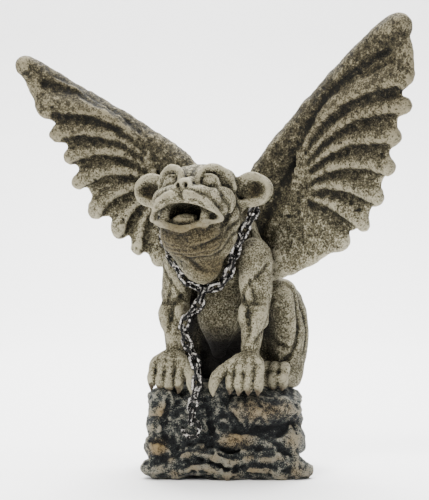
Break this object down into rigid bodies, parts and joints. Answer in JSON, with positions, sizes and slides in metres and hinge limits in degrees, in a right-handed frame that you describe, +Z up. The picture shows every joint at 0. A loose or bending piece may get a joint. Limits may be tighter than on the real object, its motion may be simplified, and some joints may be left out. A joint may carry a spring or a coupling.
{
  "type": "gargoyle statue",
  "caption": "Crouching winged gargoyle in cast stone on a craggy rock base, mouth open, with a slack chain round its neck that hangs over the rock and ends in an open shackle.",
  "frame": {"origin": "middle of the rock's flat underside", "axes": "+Z up; -Y the rock's front. The creature sits turned 20 degrees on the rock, facing between -Y and -X; +X is towards its left wing"},
  "size_m": [0.3596, 0.1801, 0.4126],
  "materials": {
    "figure_stone": "matt cast stone, warm grey-beige, with dark olive-brown in the hollows and ochre on the jaw",
    "wing_stone": "matt pitted cast stone, grey-beige with dark grooves between the ribs",
    "rock_paint": "cast stone painted charcoal, dry-brushed grey, with patches of ochre",
    "chain_iron": "black iron, worn bright on the high parts"
  },
  "bodies": {
    "root": {"broken_shackle": "chain_iron", "gargoyle_figure": "figure_stone", "hanging_link_01": "chain_iron", "hanging_link_02": "chain_iron", "hanging_link_03": "chain_iron", "hanging_link_04": "chain_iron", "hanging_link_05": "chain_iron", "hanging_link_06": "chain_iron", "hanging_link_07": "chain_iron", "hanging_link_08": "chain_iron", "hanging_link_09": "chain_iron", "hanging_link_10": "chain_iron", "hanging_link_11": "chain_iron", "hanging_link_12": "chain_iron", "hanging_link_13": "chain_iron", "left_wing": "wing_stone", "neck_link_01": "chain_iron", "neck_link_02": "chain_iron", "neck_link_03": "chain_iron", "neck_link_04": "chain_iron", "neck_link_05": "chain_iron", "neck_link_06": "chain_iron", "neck_link_07": "chain_iron", "neck_link_08": "chain_iron", "neck_link_09": "chain_iron", "neck_link_10": "chain_iron", "neck_link_11": "chain_iron", "neck_link_12": "chain_iron", "neck_link_13": "chain_iron", "neck_link_14": "chain_iron", "neck_link_15": "chain_iron", "neck_link_16": "chain_iron", "neck_link_17": "chain_iron", "neck_link_18": "chain_iron", "neck_link_19": "chain_iron", "neck_link_20": "chain_iron", "neck_link_21": "chain_iron", "neck_link_22": "chain_iron", "neck_link_23": "chain_iron", "neck_link_24": "chain_iron", "neck_link_25": "chain_iron", "neck_link_26": "chain_iron", "neck_link_27": "chain_iron", "neck_link_28": "chain_iron", "neck_link_29": "chain_iron", "neck_link_30": "chain_iron", "right_wing": "wing_stone", "rock_base": "rock_paint"}
  },
  "joints": []
}
